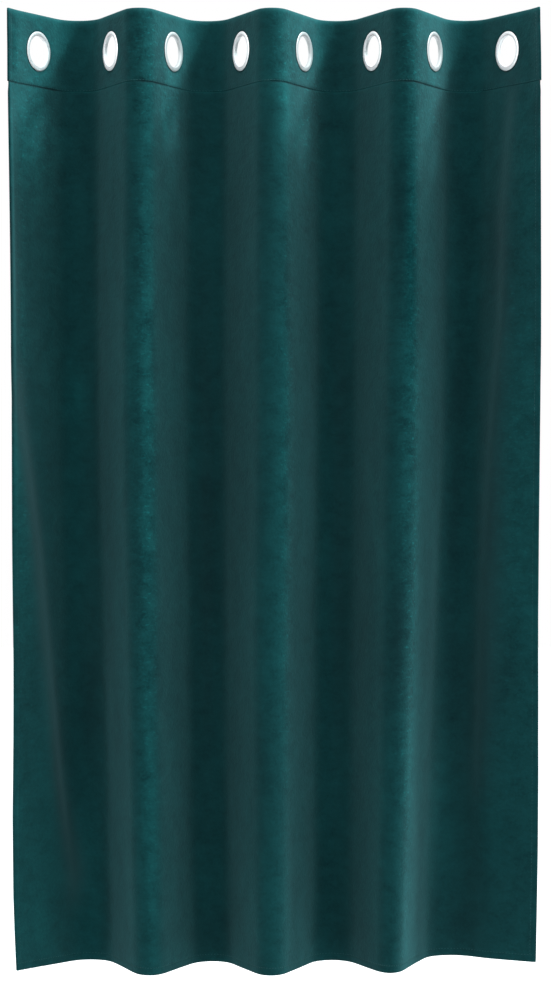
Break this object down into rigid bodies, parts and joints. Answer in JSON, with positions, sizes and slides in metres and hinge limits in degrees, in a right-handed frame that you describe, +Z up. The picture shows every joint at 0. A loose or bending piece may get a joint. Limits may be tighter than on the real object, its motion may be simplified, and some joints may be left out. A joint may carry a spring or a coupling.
{
  "type": "velvet eyelet curtain panel",
  "caption": "Velvet curtain panel hanging in deep rounded folds from a stiffened heading band with metal eyelets, with turned side hems and a plain bottom hem.",
  "frame": {"origin": "on the line that a straight rod through all the eyelets takes, seen from above, halfway along the hung width, at the height of the top edge", "axes": "+Z up, +X along the hung width to the right of a viewer in front, front of the cloth towards -Y"},
  "size_m": [0.7605, 0.2039, 1.37],
  "materials": {
    "velvet": "short-pile velvet, dark teal, soft sheen at grazing angles, slightly mottled",
    "velvet_band": "the same velvet, doubled and stiffened, with a stitched lower line",
    "eyelet_metal": "polished silver-white metal"
  },
  "bodies": {
    "root": {"drop": "velvet", "heading": "velvet_band", "eyelet_1": "eyelet_metal", "eyelet_2": "eyelet_metal", "eyelet_3": "eyelet_metal", "eyelet_4": "eyelet_metal", "eyelet_5": "eyelet_metal", "eyelet_6": "eyelet_metal", "eyelet_7": "eyelet_metal", "eyelet_8": "eyelet_metal"}
  },
  "joints": []
}
